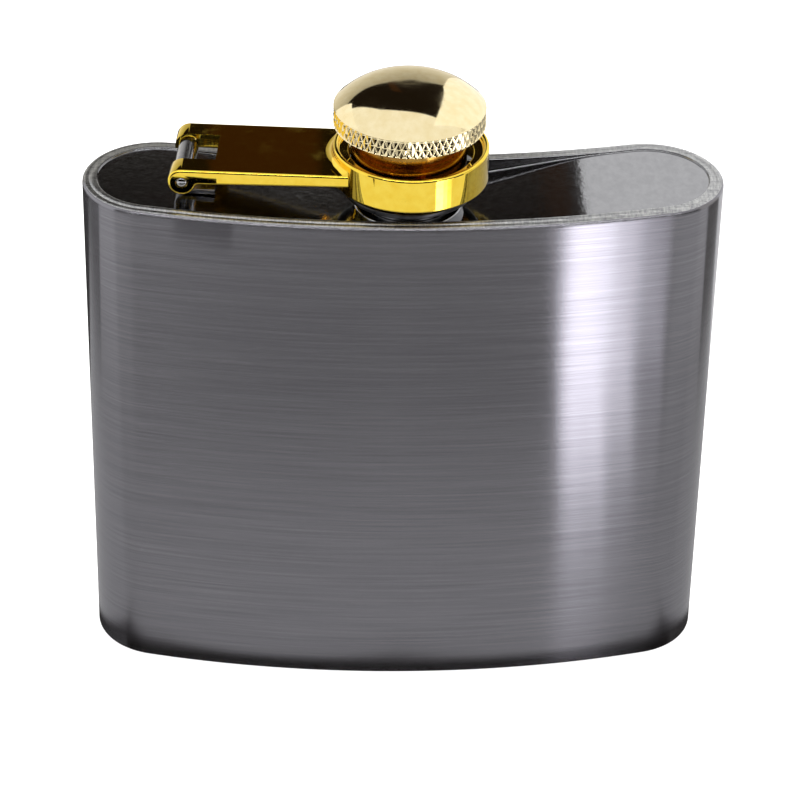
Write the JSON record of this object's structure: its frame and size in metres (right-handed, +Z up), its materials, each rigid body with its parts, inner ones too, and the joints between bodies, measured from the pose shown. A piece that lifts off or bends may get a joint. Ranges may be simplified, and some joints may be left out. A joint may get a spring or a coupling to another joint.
{
  "type": "hip flask",
  "caption": "Kidney-shaped pocket flask with brushed gunmetal walls, a dished polished top and a gold domed screw cap held captive in the collar of a hinged arm.",
  "frame": {"origin": "under the middle of the object's box, on the surface it stands on", "axes": "+Z up through the cap, +X to the right as seen from the convex front, +Y towards the concave back"},
  "size_m": [0.094, 0.0262, 0.0973],
  "materials": {
    "body_wall": "gunmetal plating over fine horizontal brushing",
    "top_plate": "mirror-polished black nickel",
    "base_plate": "gunmetal plating, lightly brushed",
    "neck": "turned steel",
    "hinge_steel": "polished grey steel",
    "arm_gold": "polished gold-coloured plating on steel",
    "cap_gold": "polished pale gold plating on steel, diamond knurled edge",
    "sleeve_gold": "turned and gold plated",
    "retaining_ring": "plain spring steel",
    "gasket": "off-white silicone"
  },
  "bodies": {
    "flask": {"body_shell": "body_wall", "top_plate": "top_plate", "base_plate": "base_plate", "neck": "neck", "hinge_bracket": "hinge_steel", "hinge_pin": "hinge_steel"},
    "arm": {"arm_strap": "arm_gold", "cap_collar": "arm_gold"},
    "seal": {"cap_gasket": "gasket"},
    "cap": {"cap_head": "cap_gold", "cap_sleeve": "sleeve_gold", "cap_retaining_ring": "retaining_ring"}
  },
  "joints": [
    {"name": "arm_hinge", "type": "hinge", "parent": "flask", "child": "arm", "pos_m": [-0.03171, 0.00053, 0.08365], "axis": [-0.0732, -0.9973, 0], "range_deg": [0, 185]},
    {"name": "cap_lift", "type": "slide", "parent": "arm", "child": "seal", "axis": [0, 0, 1], "range_m": [0, 0.004]},
    {"name": "cap_turn", "type": "hinge", "parent": "seal", "child": "cap", "pos_m": [0.00045, -0.00183, 0.09], "axis": [0, 0, 1], "range_deg": [0, 720]}
  ],
  "couplings": [
    {"joint": "cap_lift", "follows": "cap_turn", "m_per_rad": 0.0003183}
  ]
}
